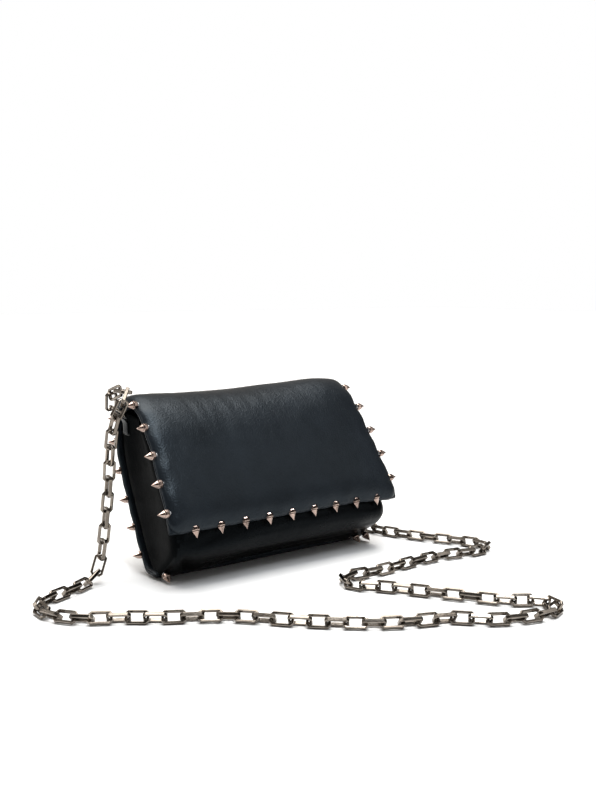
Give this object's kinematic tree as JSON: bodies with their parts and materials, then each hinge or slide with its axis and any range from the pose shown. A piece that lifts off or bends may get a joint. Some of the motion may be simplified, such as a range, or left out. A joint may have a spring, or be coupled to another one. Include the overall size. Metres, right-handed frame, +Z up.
{
  "type": "chain wallet",
  "caption": "Padded leather chain wallet with a studded fold-over flap, gusseted pouch, hidden magnets and a rectangular-link shoulder chain between D-rings.",
  "frame": {"origin": "under the middle of the wallet's box, chain left out, on the surface it stands on", "axes": "+X to the right along the width, -Y to the front where the flap is, +Z up"},
  "size_m": [0.3228, 0.2788, 0.1312],
  "materials": {
    "leather": "soft black nappa with fine grain",
    "pocket_leather": "smooth black split leather",
    "lining": "black twill",
    "wadding": "soft wadding",
    "gunmetal": "dark polished gunmetal",
    "stud_bronze": "pale bronze, polished",
    "screw_steel": "plain",
    "magnet_steel": "nickel plated"
  },
  "bodies": {
    "pouch": {"back_edge_bands": "leather", "back_end_stud_screws": "screw_steel", "back_end_studs": "stud_bronze", "back_leather": "leather", "back_left_stud_screws": "screw_steel", "back_left_studs": "stud_bronze", "back_padding": "wadding", "back_right_stud_screws": "screw_steel", "back_right_studs": "stud_bronze", "bottom_leather": "leather", "bottom_padding": "wadding", "card_slots": "pocket_leather", "chain_back_run": "gunmetal", "chain_front_run": "gunmetal", "chain_left_drop": "gunmetal", "chain_left_floor": "gunmetal", "chain_middle_run": "gunmetal", "chain_rear_rise": "gunmetal", "chain_return_run": "gunmetal", "corner_stud_screws": "screw_steel", "corner_studs": "stud_bronze", "front_leather": "leather", "front_magnet": "magnet_steel", "front_magnet_plate": "magnet_steel", "front_padding": "wadding", "left_gusset": "leather", "left_gusset_lining": "lining", "left_tab": "leather", "pocket_lining": "lining", "right_gusset": "leather", "right_gusset_lining": "lining", "right_tab": "leather", "slip_pocket": "pocket_leather"},
    "flap": {"flap_edge_band": "leather", "flap_end_stud_screws": "screw_steel", "flap_end_studs": "stud_bronze", "flap_leather": "leather", "flap_left_stud_screws": "screw_steel", "flap_left_studs": "stud_bronze", "flap_lining": "lining", "flap_magnet": "magnet_steel", "flap_magnet_plate": "magnet_steel", "flap_padding": "wadding", "flap_right_stud_screws": "screw_steel", "flap_right_studs": "stud_bronze"},
    "left_ring": {"left_ring": "gunmetal"},
    "right_ring": {"right_ring": "gunmetal"}
  },
  "joints": [
    {"name": "flap_hinge", "type": "hinge", "parent": "pouch", "child": "flap", "pos_m": [0, 0.0435, 0.1115], "axis": [-1, 0, 0], "range_deg": [0, 165]},
    {"name": "left_ring_swing", "type": "hinge", "parent": "pouch", "child": "left_ring", "pos_m": [-0.0932, 0.024, 0.108], "axis": [0, 1, 0], "range_deg": [0, 8]},
    {"name": "right_ring_swing", "type": "hinge", "parent": "pouch", "child": "right_ring", "pos_m": [0.0932, 0.024, 0.108], "axis": [0, 1, 0], "range_deg": [0, 8]}
  ]
}
